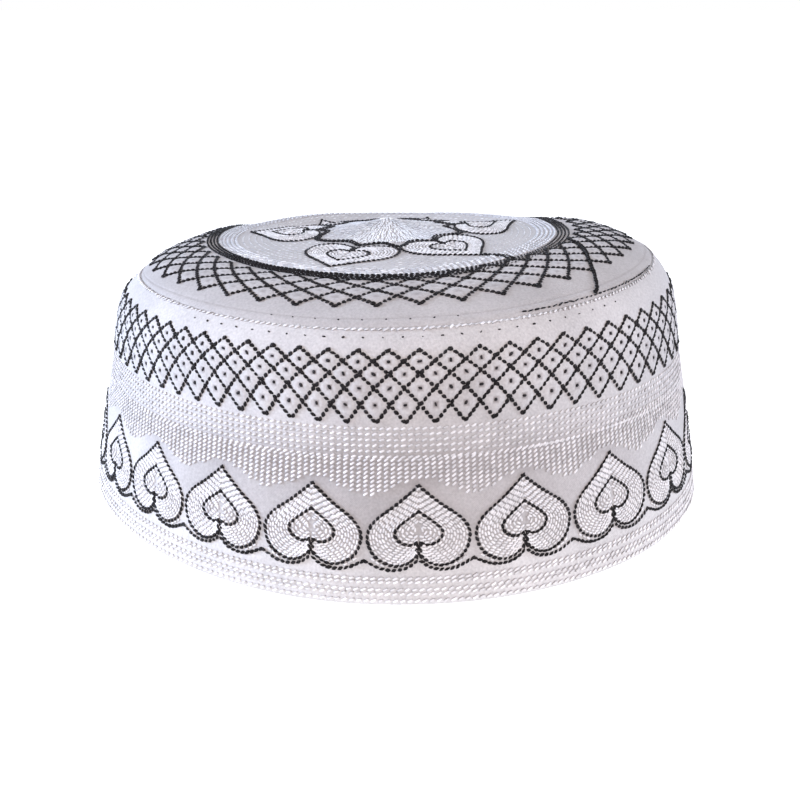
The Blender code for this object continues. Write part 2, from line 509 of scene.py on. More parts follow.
def chain_link():
    """One loop of a chain: two strands that lie tight beside each other and meet at both ends."""
    bm = bmesh.new()
    bmesh.ops.create_circle(bm, segments=3, radius=0.28)
    turn_all(bm, 90, "X")
    bmesh.ops.translate(bm, verts=bm.verts, vec=(0.22, 0, 0))
    ring = bm.verts[:] + bm.edges[:]
    bmesh.ops.spin(bm, geom=ring, cent=(0, 0, 0), axis=(0, 0, 1), angle=math.tau, steps=8, use_merge=True)
    bmesh.ops.remove_doubles(bm, verts=bm.verts, dist=1e-6)
    bmesh.ops.recalc_face_normals(bm, faces=bm.faces)
    for vert in bm.verts:
        along = vert.co.x / 0.5
        vert.co.y *= 1.05 - 0.6 * along**2
        vert.co.z += 0.12 - 0.2 * along
    return stitch_object("chain_link", bm)


def flat_stitch():
    """One long stitch, thick in the middle and thin where it goes into the cloth."""
    bm = bmesh.new()
    bmesh.ops.create_uvsphere(bm, u_segments=4, v_segments=3, radius=0.5)
    turn_all(bm, 45, "Z")
    turn_all(bm, 90, "Y")
    return stitch_object("flat_stitch", bm)


CHAIN_LINK = chain_link()
FLAT_STITCH = flat_stitch()

# %% [markdown]
# ## Laying the stitches
#
# A stitched line is a path on the cap. Along it the stitches stand at even steps, and each has a place, a
# way it runs, a way out of the cloth, a size and a shade of its own. Those are kept as attributes on
# loose points, and one Geometry Nodes group puts a copy of the stitch on each point and turns it. The
# copies are then made real, because the exported part is plain mesh. A fixed seed gives the small
# unevenness of a real machine. A small helper adds each node, with its values and links, in one call.

# %% The group that puts stitches on points
chance = np.random.default_rng(11)


def add_node(tree, kind, inputs=None, **settings):
    """A new node. Each of its inputs, by name or number, takes a value or the output of another node."""
    made = tree.nodes.new(kind)
    for key, value in settings.items():
        setattr(made, key, value)
    for key, value in (inputs or {}).items():
        if isinstance(value, bpy.types.NodeSocket):
            tree.links.new(value, made.inputs[key])
        else:
            made.inputs[key].default_value = value
    return made


def laying_group():
    """Copies of one stitch on points, turned by their 'along' and 'out' and scaled by their 'size'."""
    tree = bpy.data.node_groups.new("lay_stitches", "GeometryNodeTree")
    for name, way, kind in (
        ("Points", "INPUT", "NodeSocketGeometry"),
        ("Stitch", "INPUT", "NodeSocketObject"),
        ("Stitches", "OUTPUT", "NodeSocketGeometry"),
    ):
        tree.interface.new_socket(name, in_out=way, socket_type=kind)
    start = add_node(tree, "NodeGroupInput")
    stitch = add_node(tree, "GeometryNodeObjectInfo", {"Object": start.outputs["Stitch"]})
    read = {}
    for key in ("out", "along", "size"):
        named = add_node(tree, "GeometryNodeInputNamedAttribute", {"Name": key}, data_type="FLOAT_VECTOR")
        read[key] = named.outputs["Attribute"]
    axes = {"Primary Axis": read["out"], "Secondary Axis": read["along"]}
    turn = add_node(tree, "FunctionNodeAxesToRotation", axes, primary_axis="Z", secondary_axis="X")
    copied = {
        "Points": start.outputs["Points"],
        "Instance": stitch.outputs["Geometry"],
        "Rotation": turn.outputs["Rotation"],
        "Scale": read["size"],
    }
    copies = add_node(tree, "GeometryNodeInstanceOnPoints", copied)
    real = add_node(tree, "GeometryNodeRealizeInstances", {"Geometry": copies.outputs["Instances"]})
    add_node(tree, "NodeGroupOutput", {"Stitches": real.outputs["Geometry"]})
    return tree


LAYING = laying_group()


def cloth_swell(angle, way_up):
    """How far the cloth's slow ripple lifts a stitch at these places, in mm."""
    on_side = way_up * MM <= SEAM
    places = on_cap(np.radians(angle), way_up * MM)
    swell = np.zeros(len(angle))
    if on_side.any():
        swell[on_side] = ripple(places[on_side], SIDE_RIPPLE)
    if not on_side.all():
        swell[~on_side] = ripple(places[~on_side], DISC_RIPPLE)
    return swell


def stitched(
    path, pitch, size, lift=0.0, slant=0.0, uneven=0.06, start=0.0, closed=False, count=None, tone=(0, 1)
):
    """Stitches at even steps along a path of angles in degrees and ways up in mm. All lengths are in mm."""
    angle, way_up = (np.asarray(x, float) for x in path)
    line = on_cap(np.radians(angle), way_up * MM) / MM
    run = np.concatenate([[0.0], np.cumsum(np.linalg.norm(np.diff(line, axis=0), axis=1))])
    count = count or max(1, round(run[-1] / pitch))
    step = run[-1] / count
    at = (np.arange(count) + 0.5 + start) * step
    at = at % run[-1] if closed else at[at < run[-1]]

    def on_line(where):
        return np.stack([np.interp(where, run, line[:, k]) for k in range(3)], axis=-1)

    here = (np.interp(at, run, angle), np.interp(at, run, way_up))
    out = directions(np.radians(here[0]), here[1] * MM)[2]
    along = unit(on_line(at + 0.45 * step) - on_line(at - 0.45 * step))
    tilt = np.radians(slant + chance.normal(0, 60 * uneven, len(at)))[:, None]
    along = unit(np.cos(tilt) * along + np.sin(tilt) * np.cross(out, along))
    raised = cloth_swell(*here) + lift + chance.normal(0, uneven / 4, len(at))
    places = on_line(at) + out * raised[:, None]
    sizes = np.array(size) * (1 + chance.normal(0, uneven, (len(at), 3)))
    return places * MM, along, out, sizes * MM, chance.uniform(*tone, len(at))


def lay(name, runs, stitch, material):
    """One piece from many stitched runs."""
    place, along, out, size, tone = (np.concatenate(parts) for parts in zip(*runs))
    points = bpy.data.meshes.new(name)
    points.vertices.add(len(place))
    points.vertices.foreach_set("co", place.ravel())
    for key, values in (("along", along), ("out", out), ("size", size)):
        points.attributes.new(key, "FLOAT_VECTOR", "POINT").data.foreach_set("vector", values.ravel())
    points.attributes.new("tone", "FLOAT", "POINT").data.foreach_set("value", tone)
    piece = placed(name, points)
    laying = piece.modifiers.new("laying", "NODES")
    laying.node_group = LAYING
    laying[LAYING.interface.items_tree["Stitch"].identifier] = stitch
    seen = piece.evaluated_get(bpy.context.evaluated_depsgraph_get())
    mesh = bpy.data.meshes.new_from_object(seen)
    mesh.name = name
    piece.modifiers.clear()
    piece.data = mesh
    bpy.data.meshes.remove(points)
    for key in ("along", "out", "size"):
        if key in mesh.attributes:
            mesh.attributes.remove(mesh.attributes[key])
    mesh.materials.clear()
    mesh.materials.append(material)
    triangles = sum(len(p.vertices) - 2 for p in mesh.polygons)
    print(name, len(place), "stitches,", triangles, "triangles")
    return piece


# %% [markdown]
# ## Materials
#
# Four finishes make the whole cap: white cotton, white rayon thread, the same thread laid as smooth satin
# on the disc, and black thread. Cotton scatters light and shows a weave when near. Rayon is what gives
# embroidery its gleam, so its roughness is low. Black thread is never quite black. Each thread's colour
# is painted lighter on its crown and darker at its foot: painted highlight and painted shade. One group
# makes the fine unevenness that all four share.

# %% The shared group and the four materials


def uneven_group():
    """A slow and a fine noise on Object coordinates, as a shade from 0 to 1."""
    tree = bpy.data.node_groups.new("unevenness", "ShaderNodeTree")
    for key in ("Slow Scale", "Fine Scale", "Fine Share"):
        tree.interface.new_socket(key, in_out="INPUT", socket_type="NodeSocketFloat")
    tree.interface.new_socket("Shade", in_out="OUTPUT", socket_type="NodeSocketFloat")
    start = add_node(tree, "NodeGroupInput")
    place = add_node(tree, "ShaderNodeTexCoord").outputs["Object"]
    noises = []
    for key in ("Slow Scale", "Fine Scale"):
        inputs = {"Vector": place, "Scale": start.outputs[key], "Detail": 2.0}
        noises.append(add_node(tree, "ShaderNodeTexNoise", inputs).outputs["Fac"])
    mixed = {"Factor": start.outputs["Fine Share"], "A": noises[0], "B": noises[1]}
    mix = add_node(tree, "ShaderNodeMix", mixed)
    add_node(tree, "NodeGroupOutput", {"Shade": mix.outputs["Result"]})
    return tree


UNEVEN = uneven_group()


def finish_material(name, dark, light, roughness, slow, fine, share):
    """A material whose colour runs from dark to light by the shared unevenness, with its parts."""
    material = bpy.data.materials.new(name)
    material.use_nodes = True
    tree = material.node_tree
    shader = tree.nodes["Principled BSDF"]
    shader.inputs["Roughness"].default_value = roughness
    scales = {"Slow Scale": slow, "Fine Scale": fine, "Fine Share": share}
    shade = add_node(tree, "ShaderNodeGroup", scales, node_tree=UNEVEN).outputs["Shade"]
    ramp = add_node(tree, "ShaderNodeValToRGB", {"Fac": shade})
    for stop, position, colour in zip(ramp.color_ramp.elements, (0.3, 0.7), (dark, light)):
        stop.position = position
        stop.color = (*colour, 1.0)
    tree.links.new(ramp.outputs["Color"], shader.inputs["Base Color"])
    return material, tree, shader, shade, ramp


def add_bump(tree, shader, height, strength, distance):
    """Roughens a surface by a height, whose 1 stands for this distance in metres."""
    bump = add_node(tree, "ShaderNodeBump", {"Strength": strength, "Distance": distance, "Height": height})
    tree.links.new(bump.outputs["Normal"], shader.inputs["Normal"])


def sine_across(tree, source, pitch):
    """A sine of a length in metres, with this pitch."""
    scaled = add_node(tree, "ShaderNodeMath", {0: source, 1: math.tau / pitch}, operation="MULTIPLY")
    return add_node(tree, "ShaderNodeMath", {0: scaled.outputs[0]}, operation="SINE").outputs[0]


WEAVE_PITCH = 0.5 * MM
WEAVE_SHARE = 0.35
# The colour of the painted shade on the cotton
PAINTED_SHADE_COLOUR = (0.09, 0.05, 0.05, 1.0)


def cotton_material():
    """Plain-woven white cotton, with painted shade mixed into its colour from the cloth's shade attribute."""
    made = finish_material("white_cotton", (0.53, 0.52, 0.53), (0.76, 0.745, 0.755), 0.85, 60.0, 1500.0, 0.6)
    material, tree, shader, shade, ramp = made
    flat = add_node(tree, "ShaderNodeUVMap", uv_map="cloth")
    split = add_node(tree, "ShaderNodeSeparateXYZ", {0: flat.outputs["UV"]})
    warp, weft = (sine_across(tree, split.outputs[axis], WEAVE_PITCH) for axis in "XY")
    weave = add_node(tree, "ShaderNodeMath", {0: warp, 1: weft}, operation="MULTIPLY").outputs[0]
    height = add_node(tree, "ShaderNodeMath", {0: weave, 1: WEAVE_SHARE, 2: shade}, operation="MULTIPLY_ADD")
    add_bump(tree, shader, height.outputs[0], 0.6, 0.0002)
    # Painted shade: the cloth's attribute darkens the cotton towards the shade colour
    painted_shade = add_node(tree, "ShaderNodeAttribute", attribute_name="painted_shade")
    colours = {"Factor": painted_shade.outputs["Fac"], "A": ramp.outputs["Color"], "B": PAINTED_SHADE_COLOUR}
    darker = add_node(tree, "ShaderNodeMix", colours, data_type="RGBA")
    tree.links.new(darker.outputs["Result"], shader.inputs["Base Color"])
    shader.inputs["Sheen Weight"].default_value = 0.15
    return material


def thread_material(name, dark, light, roughness, tone_share, painted_light_share):
    """Thread with a painted highlight on its crown and painted shade at its foot; each stitch has its own
    tone.
    """
    material, tree, shader, shade, ramp = finish_material(name, dark, light, roughness, 300.0, 4000.0, 0.5)
    ramp.color_ramp.elements[1].position = 0.85
    mixed = shade
    # The crown share mixes in the painted highlight and painted shade up each stitch
    for key, share in (("tone", tone_share), ("crown", painted_light_share)):
        own = add_node(tree, "ShaderNodeAttribute", attribute_name=key)
        mean = add_node(tree, "ShaderNodeMix", {"Factor": share, "A": mixed, "B": own.outputs["Fac"]})
        mixed = mean.outputs["Result"]
    tree.links.new(mixed, ramp.inputs["Fac"])
    add_bump(tree, shader, shade, 0.3, 0.0001)
    return material


COTTON = cotton_material()
WHITE_THREAD = thread_material("white_rayon", (0.17, 0.16, 0.17), (0.96, 0.95, 0.97), 0.3, 0.5, 0.55)
SATIN_THREAD = thread_material("white_satin", (0.40, 0.41, 0.46), (0.97, 0.98, 1.0), 0.24, 0.7, 0.4)
BLACK_THREAD = thread_material("black_thread", (0.001, 0.001, 0.001), (0.032, 0.029, 0.032), 0.4, 0.5, 0.5)
BLACK_THREAD.node_tree.nodes["Principled BSDF"].inputs["Specular IOR Level"].default_value = 0.2
side_cloth.data.materials.append(COTTON)
disc_cloth.data.materials.append(COTTON)
print("materials:", [m.name for m in bpy.data.materials if m.users])

# %% [markdown]
# ## The black diamonds
#
# Each line of the diamonds runs slantwise through five half rows, from a tip to a bottom corner. Two
# lines leave every tip, one to each side. The machine sews them as one long zigzag and back, so the lines
# cross each other.

# %% Diamonds in chain stitch
BLACK_PITCH = 1.45
BLACK_SIZE = (1.78, 1.24, 0.9)
BLACK_SLANT = 18
LOOSENESS = 0.25
PAST_TIP = 0.12
rows_down = np.linspace(-PAST_TIP, ROWS + PAST_TIP, 27)


def black_run(path, width=1.0, lift=0.12, **more):
    """A line of black chain. On the side, lines that climb towards the front lie looser and wider."""
    size = np.array(BLACK_SIZE) * (1.0, width, 1.0)
    place, along, out, size, tone = stitched(
        path, BLACK_PITCH, size, lift=lift, slant=BLACK_SLANT, uneven=0.09, **more
    )
    if np.max(path[1]) * MM < SEAM:
        round_it = unit(np.cross((0.0, 0.0, 1.0), out))
        climb = 2 * (along * round_it).sum(axis=1) * along[:, 2]
        to_front = -place[:, 0] / np.hypot(place[:, 0], place[:, 1])
        size[:, 1] *= 1 + LOOSENESS * climb * to_front
    return place, along, out, size, tone


def diamond_lines(diamonds, point, width):
    """Both slanting lines from every tip. Width is that of the thread against the side's."""
    runs = []
    for tip in range(diamonds):
        for way in (1, -1):
            path = point(2 * tip + way * rows_down, rows_down)
            runs.append(black_run(path, width, start=-0.3 * chance.random()))
    return runs


side_lines = diamond_lines(SIDE_DIAMONDS, side_diamond, 1.0)
side_diamonds = lay("side_diamonds", side_lines, CHAIN_LINK, BLACK_THREAD)
disc_lines = diamond_lines(DISC_DIAMONDS, disc_diamond, 1.12)
disc_diamonds = lay("disc_diamonds", disc_lines, CHAIN_LINK, BLACK_THREAD)

# %% [markdown]
# Each diamond's dimple has one small dark speck of black thread in its middle, painted shade in its hole.

# %% Dark specks in the middles, painted shade
DIMPLE_SHADE_SIZE = (1.5, 1.15, 0.8)
DIMPLE_SHADE_LIFT = 0.35


def dimple_shade_specks(diamonds, point, size, lift):
    """One small dark speck, painted shade, in the middle of each whole diamond, turned at random."""
    runs = []
    for tip in range(diamonds):
        for row in range(1, ROWS):
            angle, way_up = point(np.array([2 * tip + row - 1.0]), np.array([float(row)]))
            out = directions(np.radians(angle), way_up * MM)[2]
            turn = chance.normal(0, 1, (1, 3))
            along = unit(turn - out * (turn * out).sum(axis=1, keepdims=True))
            raised = lift + cloth_swell(angle, way_up)[:, None]
            place = on_cap(np.radians(angle), way_up * MM) + out * raised * MM
            sizes = np.array([size]) * chance.uniform(0.6, 1.1, (1, 3)) * MM
            runs.append((place, along, out, sizes, chance.random(1)))
    return runs


dimple_shade_runs = dimple_shade_specks(SIDE_DIAMONDS, side_diamond, DIMPLE_SHADE_SIZE, DIMPLE_SHADE_LIFT)
side_knots = lay("side_knots", dimple_shade_runs, FLAT_STITCH, BLACK_THREAD)

# %% [markdown]
# ## The black rings
#
# Inside the disc's diamonds four lines of chain lie close together and frame the middle. At the front the
# machine ran them out over the first row of the diamonds.

# %% Rings
RINGS = 4
RING_RADIUS = (55.8, ((1, -0.6, -0.1), (2, 1.7, 0.6)))
RING_STEP = 1.02
RING_BULGE = 2.6
RING_RISE = 0.5
ring_turns = np.linspace(0, 360, 361)
ring_bulge = RING_BULGE * near_angle(np.radians(ring_turns), 1, 22)
ring_runs = []
for number in range(RINGS):
    radius = level(RING_RADIUS, ring_turns) + ring_bulge + (number - (RINGS - 1) / 2) * RING_STEP
    path = (ring_turns, way_to_radius(radius * MM) / MM)
    place, along, out, size, tone = black_run(path, 0.5, start=chance.random(), closed=True)
    rise = RING_RISE * near_angle(np.arctan2(place[:, 0], -place[:, 1]), 1, 26)
    ring_runs.append((place + out * (rise * MM)[:, None], along, out, size, tone))
disc_rings = lay("disc_rings", ring_runs, CHAIN_LINK, BLACK_THREAD)

# %% [markdown]
# ## The hearts
#
# The motif is one traditional heart, tip up, with a small heart inside it and a stem that joins both
# clefts. Only its right half is written down, as a few points, and the left half is its mirror. The
# filling follows the outline: rows of white stitches step evenly from the large heart to the small one,
# and on into the small one.

# %% The heart motif
# Points of the right half, from tip to cleft: mm to the right, mm up from the hem
OUTER_HEART = (
    (-0.5, 31.0),
    (5.2, 26.2),
    (10.6, 22.1),
    (12.7, 18.7),
    (12.4, 15.2),
    (10.8, 12.5),
    (8.2, 10.8),
    (5.6, 10.2),
    (2.7, 11.0),
    (0.2, 13.3),
)
INNER_HEART = (
    (-0.3, 24.4),
    (2.2, 22.6),
    (4.5, 20.8),
    (5.9, 19.1),
    (5.8, 17.7),
    (5.0, 16.6),
    (3.8, 15.9),
    (2.6, 15.6),
    (1.3, 15.8),
    (0.2, 16.6),
)
SCALLOP = ((0.2, 11.7), (2.8, 9.8), (6.1, 9.1), (9.3, 9.5), (11.8, 10.6), (13.9, 11.6))
SLIVER = ((8.4, 10.0), (10.2, 11.1), (11.9, 12.3))
STEM = (16.6, 11.8)


def mirrored(points):
    """A half and its mirror image."""
    return [np.asarray(points) * (side, 1.0) for side in (1, -1)]


def heart_lines(outer, inner, others, stem):
    """The black lines of a heart: its outlines, its other lines, and its stem of three lines."""
    lines = []
    for half in (smooth_through(outer, 8), smooth_through(inner, 6), *others):
        lines += mirrored(half)
    between = np.array([(0.0, stem[0] - 0.8), (0.0, stem[1] + 0.8)])
    return lines + mirrored([(0.5, stem[0]), (0.55, stem[1])]) + [between]


def heart_fill_lines(outer, inner, rows_between, rows_inside):
    """The white rows of a heart, from its outline to the middle of the small heart, with their numbers."""
    outer, inner = np.array(outer), np.array(inner)
    middle = np.array([0.25, inner[0, 1] + 0.62 * (inner[-1, 1] - inner[0, 1])])
    lines = []
    for row in range(rows_between + rows_inside):
        if row < rows_between:
            points = outer + (inner - outer) * (row + 0.95) / (rows_between + 0.8)
        else:
            points = inner + (middle - inner) * (row - rows_between + 0.85) / (rows_inside + 0.5)
        lines += [(half, row) for half in mirrored(smooth_through(points, 6))]
    return lines


SIDE_MOTIF = heart_lines(OUTER_HEART, INNER_HEART, [smooth_through(SCALLOP, 8)], STEM)
print("the motif is", round(2 * max(x for x, y in OUTER_HEART), 1), "mm wide")

# %% [markdown]
# ### Hearts round the side
#
# Twenty-one hearts stand round the side above the hem, joined below by a scalloped line.

# %% Side hearts
SIDE_HEARTS = 21
HEART_START = 3.5
HEART_DRIFT = (4.0, ((1, -4.0, 0.0),))
HEART_RADIUS = 91.0
FILL_SIZE = (1.6, 0.8, 0.62)
FILL_ROWS = (8, 5)  # between the two hearts, inside the small one


def on_side(points, turn):
    """The motif's points on the side, at this count round the cap."""
    turns = turn + np.degrees(points[:, 0] / HEART_RADIUS)
    return turns + level(HEART_DRIFT, turns), points[:, 1]


def fill_run(path, pitch, row, tone=(0, 1)):
    """One row of a heart's filling. Every other row starts half a stitch further on."""
    return stitched(path, pitch, FILL_SIZE, lift=0.08, slant=10, start=0.5 * (row % 2), tone=tone)


heart_turns = HEART_START + np.arange(SIDE_HEARTS) * 360 / SIDE_HEARTS
heart_runs = []
fill_runs = []
for turn in heart_turns:
    for line in SIDE_MOTIF:
        heart_runs.append(black_run(on_side(line, turn), 0.82, 0.2))
    for line, row in heart_fill_lines(OUTER_HEART, INNER_HEART, *FILL_ROWS):
        fill_runs.append(fill_run(on_side(line, turn), 1.45, row, tone=(0.2, 1)))
    for line in mirrored(SLIVER):
        fill_runs.append(stitched(on_side(line, turn), 1.3, FILL_SIZE, lift=0.1))
side_hearts = lay("side_hearts", heart_runs, CHAIN_LINK, BLACK_THREAD)
side_heart_fill = lay("side_heart_fill", fill_runs, FLAT_STITCH, WHITE_THREAD)

# %% [markdown]
# ## White rows on the side
#
# Under the diamonds run a few rows of white stitches, and below them a dense field whose lower edge waves
# over the hearts. Every row is sewn round the whole cap, but in the waving field a stitch is kept only
# where it lies above the wave. Five rows close the hem, one at its edge and two pairs over it.

# %% White rows, the waving field and the hem
# Sizes in mm
WHITE_SIZE = (1.8, 0.86, 0.8)
HEM_SIZE = (1.95, 0.85, 0.8)
ROW_DEPTHS = (1.3, 2.7, 4.1, 5.5, 6.9, 8.3)  # below the diamonds
HEM_WAYS = (1.15, 2.92, 4.07, 6.0, 6.94)  # above the rim
FIELD_TOP = 37.2
FIELD_STEP = 1.08
FIELD_ROWS = 9
FIELD_STITCHES = 331


def round_cap(way_up, start=0.0, end=360.0):
    """A path round the cap at one way up, from one angle to another."""
    turns = np.linspace(start, end, 721)
    return turns, np.full(len(turns), way_up)


def kept(run, keep):
    """The stitches of a run that a mask keeps."""
    return tuple(part[keep] for part in run)


def field_edge(turns):
    """The lower edge of the white field, in mm above the hem."""
    return 30.3 + 2.0 * np.cos(np.radians((turns - HEART_START) * SIDE_HEARTS))


row_runs = []
for depth in ROW_DEPTHS:
    path = side_place(round_cap(0.0)[0], SIDE_ROW_DEPTH[-1] + depth)
    row_runs.append(stitched(path, 1.75, WHITE_SIZE, lift=0.1, slant=26, closed=True))
field_runs = []
for number in range(FIELD_ROWS):
    turns, ways_up = round_cap(FIELD_TOP - FIELD_STEP * number)
    path = (turns + level(HEART_DRIFT, turns), ways_up)
    run = stitched(path, 0, WHITE_SIZE, lift=0.1, slant=38, count=FIELD_STITCHES)
    turns = np.linspace(0, 360, len(run[0]), endpoint=False)
    field_runs.append(kept(run, ways_up[0] > field_edge(turns)))
hem_runs = []
for way_up in HEM_WAYS:
    start = chance.random()
    run = stitched(round_cap(way_up), 1.85, HEM_SIZE, lift=0.12, slant=26, start=start, closed=True)
    hem_runs.append(run)
side_rows = lay("side_rows", row_runs, FLAT_STITCH, WHITE_THREAD)
side_field = lay("side_field", field_runs, FLAT_STITCH, WHITE_THREAD)
hem_rows = lay("hem_rows", hem_runs, FLAT_STITCH, WHITE_THREAD)

# %% [markdown]
# ## The seam
#
# A row of small white stitches holds the disc to the side, on the side's top edge. Needle holes stay in
# the cloth at the front where a guide thread was pulled out, one row under the seam and one over it. At
# this size a hole shows only as the shade inside it, so each is laid as a dark speck of black thread,
# painted shade.

# %% Seam stitches and needle holes
SEAM_SIZE = (1.6, 0.72, 0.7)
LOWER_HOLE = (0.75, 0.6, 0.35)
UPPER_HOLE = (0.6, 0.5, 0.35)
seam_row = round_cap(SEAM / MM - 0.6)
seam_run = stitched(seam_row, 1.6, SEAM_SIZE, 0.1, slant=30, uneven=0.2, closed=True, tone=(0.2, 1))
seam_chain = lay("seam_chain", [seam_run], FLAT_STITCH, WHITE_THREAD)
# Each needle hole is a dark speck of black thread, painted shade for the hole
hole_runs = [
    stitched(round_cap(67.2, -42, 48), 4.85, LOWER_HOLE, 0.06, uneven=0.25),
    stitched(round_cap(SEAM / MM + 2.2, -26, 14), 6.1, UPPER_HOLE, 0.06, uneven=0.25),
]
needle_holes = lay("needle_holes", hole_runs, FLAT_STITCH, BLACK_THREAD)

# %% [markdown]
# ## The middle of the disc
#
# Six larger hearts lie round the middle with their tips outwards. The same motif serves, but the disc is
# flat, so its points are placed with a sine and a cosine instead of being counted round a band.

# %% Disc hearts
# Each heart: the angle of its axis, the radius of its tip in mm, the widths of its left and right halves
DISC_HEARTS = (
    (-97.0, 44.8, 0.95, 1.32),
    (-18.5, 47.1, 1.0, 1.0),
    (35.7, 44.6, 1.0, 1.0),
    (111.0, 45.0, 1.55, 0.95),
    (161.7, 42.5, 0.95, 0.95),
    (212.3, 42.5, 0.95, 0.95),
)
# Points of the right half, from tip to cleft: mm to the right, mm out from the tip
DISC_OUTER = (
    (-0.5, 0.6),
    (5.3, -5.2),
    (10.3, -9.8),
    (13.0, -14.0),
    (13.3, -18.0),
    (12.2, -21.3),
    (9.6, -23.4),
    (6.6, -23.7),
    (3.0, -22.4),
    (0.3, -20.2),
)
DISC_INNER_HEART = (
    (-0.3, -6.2),
    (2.3, -8.6),
    (4.4, -10.8),
    (5.9, -13.3),
    (5.9, -15.2),
    (5.0, -16.8),
    (3.8, -17.5),
    (2.6, -17.5),
    (1.3, -17.0),
    (0.2, -16.3),
)
DISC_STEM = (-16.4, -21.6)
DISC_SWAY = 1.6


def on_disc(points, heart):
    """The motif's points on the disc, tip outwards along the heart's axis."""
    axis, tip, left_width, right_width = heart
    right = points[:, 0] * np.where(points[:, 0] < 0, left_width, right_width)
    out = tip + points[:, 1]
    angle = axis + np.degrees(np.arctan2(right, out))
    radius = np.hypot(right, out) + DISC_SWAY * np.cos(np.radians(2 * angle))
    return angle, way_to_radius(radius * MM) / MM


def scallop_round_middle(inset):
    """One closed line that dips into each heart's cleft and rises between hearts, moved in by some mm."""
    points = []
    axes = [heart[0] for heart in DISC_HEARTS]
    for axis, after in zip(axes, axes[1:] + [axes[0] + 360]):
        points += [(axis, 23.6), (axis + 7, 21.4), (axis + 17, 20.8)]
        points += [((axis + after) / 2, 25.4), (after - 17, 20.8), (after - 7, 21.4)]
    points.append((axes[0] + 360, 23.6))
    line = smooth_through(points, 8)
    radius = line[:, 1] - inset + DISC_SWAY * np.cos(np.radians(2 * line[:, 0]))
    return line[:, 0], way_to_radius(radius * MM) / MM


heart_runs = [black_run(scallop_round_middle(inset), closed=True) for inset in (0.0, 1.15)]
fill_runs = []
for heart in DISC_HEARTS:
    for line in heart_lines(DISC_OUTER, DISC_INNER_HEART, [], DISC_STEM):
        heart_runs.append(black_run(on_disc(line, heart), 0.88))
    for line, row in heart_fill_lines(DISC_OUTER, DISC_INNER_HEART, *FILL_ROWS):
        fill_runs.append(fill_run(on_disc(line, heart), 1.5, row))
disc_hearts = lay("disc_hearts", heart_runs, CHAIN_LINK, BLACK_THREAD)
disc_heart_fill = lay("disc_heart_fill", fill_runs, FLAT_STITCH, WHITE_THREAD)

# %% [markdown]
# ### White rows and the fan in the middle
#
# Rings of white stitches fill the disc between the hearts and the black rings. The rows next to the black
# rings are painted lighter at the front and darker at the back, a painted highlight. In the middle the
# stitches run towards the peak and lie plumper on its front, where a painted highlight in their colour
# draws a bright fan.

# %% Disc filling


def outside_hearts(turns, radii):
    """True where a place on the disc is outside all its hearts."""
    clear = np.ones(len(turns), bool)
    right_half = smooth_through(DISC_OUTER, 6)
    edge = np.vstack([right_half, right_half[::-1] * (-1, 1)])
    radii = radii - DISC_SWAY * np.cos(np.radians(2 * turns))
    for axis, tip, left_width, right_width in DISC_HEARTS:
        x = radii * np.sin(np.radians(turns - axis))
        x = x / np.where(x < 0, left_width, right_width)
        y = radii * np.cos(np.radians(turns - axis)) - tip
        inside = np.zeros(len(turns), bool)
        for (ax, ay), (bx, by) in zip(edge, np.roll(edge, 1, axis=0)):
            crosses = (ay > y) != (by > y)
            inside ^= crosses & (x < (bx - ax) * (y - ay) / (by - ay + 1e-9) + ax)
        clear &= ~inside
    return clear


PLAIN_ROWS = np.arange(26.5, 46.0, 1.9)
BRIGHT_ROWS = (47.6, 48.9, 50.2, 51.5, 52.6)
PLAIN_SIZE = (1.4, 0.42, 0.22)
BRIGHT_SIZE = (2.1, 0.95, 0.7)
FAN_ROWS = np.arange(1.4, 20.8, 1.6)
FAN_PITCH = 0.62
disc_runs = []
for radius in (*PLAIN_ROWS, *BRIGHT_ROWS):
    bright = radius in BRIGHT_ROWS
    sway = 0.6 * DISC_SWAY * np.cos(np.radians(2 * ring_turns))
    radii = radius + sway + ring_bulge * eased(radius, 40, 54)
    path = (ring_turns, way_to_radius(radii * MM) / MM)
    size, slant = (BRIGHT_SIZE, 26) if bright else (PLAIN_SIZE, 12)
    run = stitched(path, 2.0, size, lift=0.06, slant=slant, start=chance.random())
    turns = np.linspace(0, 360, len(run[0]), endpoint=False)
    if bright:
        # Painted highlight: the bright rows' tone is lighter at the front and darker towards the back
        run = (*run[:4], run[4] * (0.25 + 0.6 * eased(np.cos(np.radians(turns)), 0.1, 0.75)))
    disc_runs.append(kept(run, outside_hearts(turns, np.full(len(turns), radius))))
for radius in FAN_ROWS:
    spokes = round(math.tau * radius / FAN_PITCH)
    for spoke in range(spokes):
        turn = 360 * (spoke + chance.random()) / spokes
        path = ([turn, turn], way_to_radius(np.array([radius + 1.0, radius - 1.0]) * MM) / MM)
        # Painted highlight: near the peak and on its front the fan's stitches get lighter tones
        fan_highlight = 1.0 if radius < 3 else near_angle(math.radians(turn), -4, 34)
        size, tone = (2.2, 0.62, 0.25 + 0.3 * fan_highlight), (0.6 * fan_highlight, 0.55 + 0.45 * fan_highlight)
        disc_runs.append(stitched(path, 2.0, size, lift=0.1, uneven=0.12, tone=tone))
disc_fill = lay("disc_fill", disc_runs, FLAT_STITCH, SATIN_THREAD)

# %% [markdown]
# ## Loose ends
#
# The machine leaves a line where it travels from one figure to the next. One such line runs from a
# heart's tip to the rings, another from the rings over the diamonds to the seam, and dashes of a third
# lie along the seam.

# %% Travelling thread
# Angles in degrees and distances from the middle in mm
HEART_TO_RING = ((35.7, 44.6), (38.5, 49.6), (38.1, 54.5))
RING_TO_SEAM = ((68.8, 56.7), (63.7, 61.9), (54.4, 67.6), (48.5, 72.5), (44.4, 76.0), (42.5, 76.8))
ALONG_SEAM = (
    (24.0, 76.9),
    (29.3, 77.0),
    (32.9, 77.0),
    (41.6, 77.1),
    (45.3, 77.1),
    (58.4, 77.3),
    (70.0, 77.5),
)
BESIDE = (1.6, 0.4)


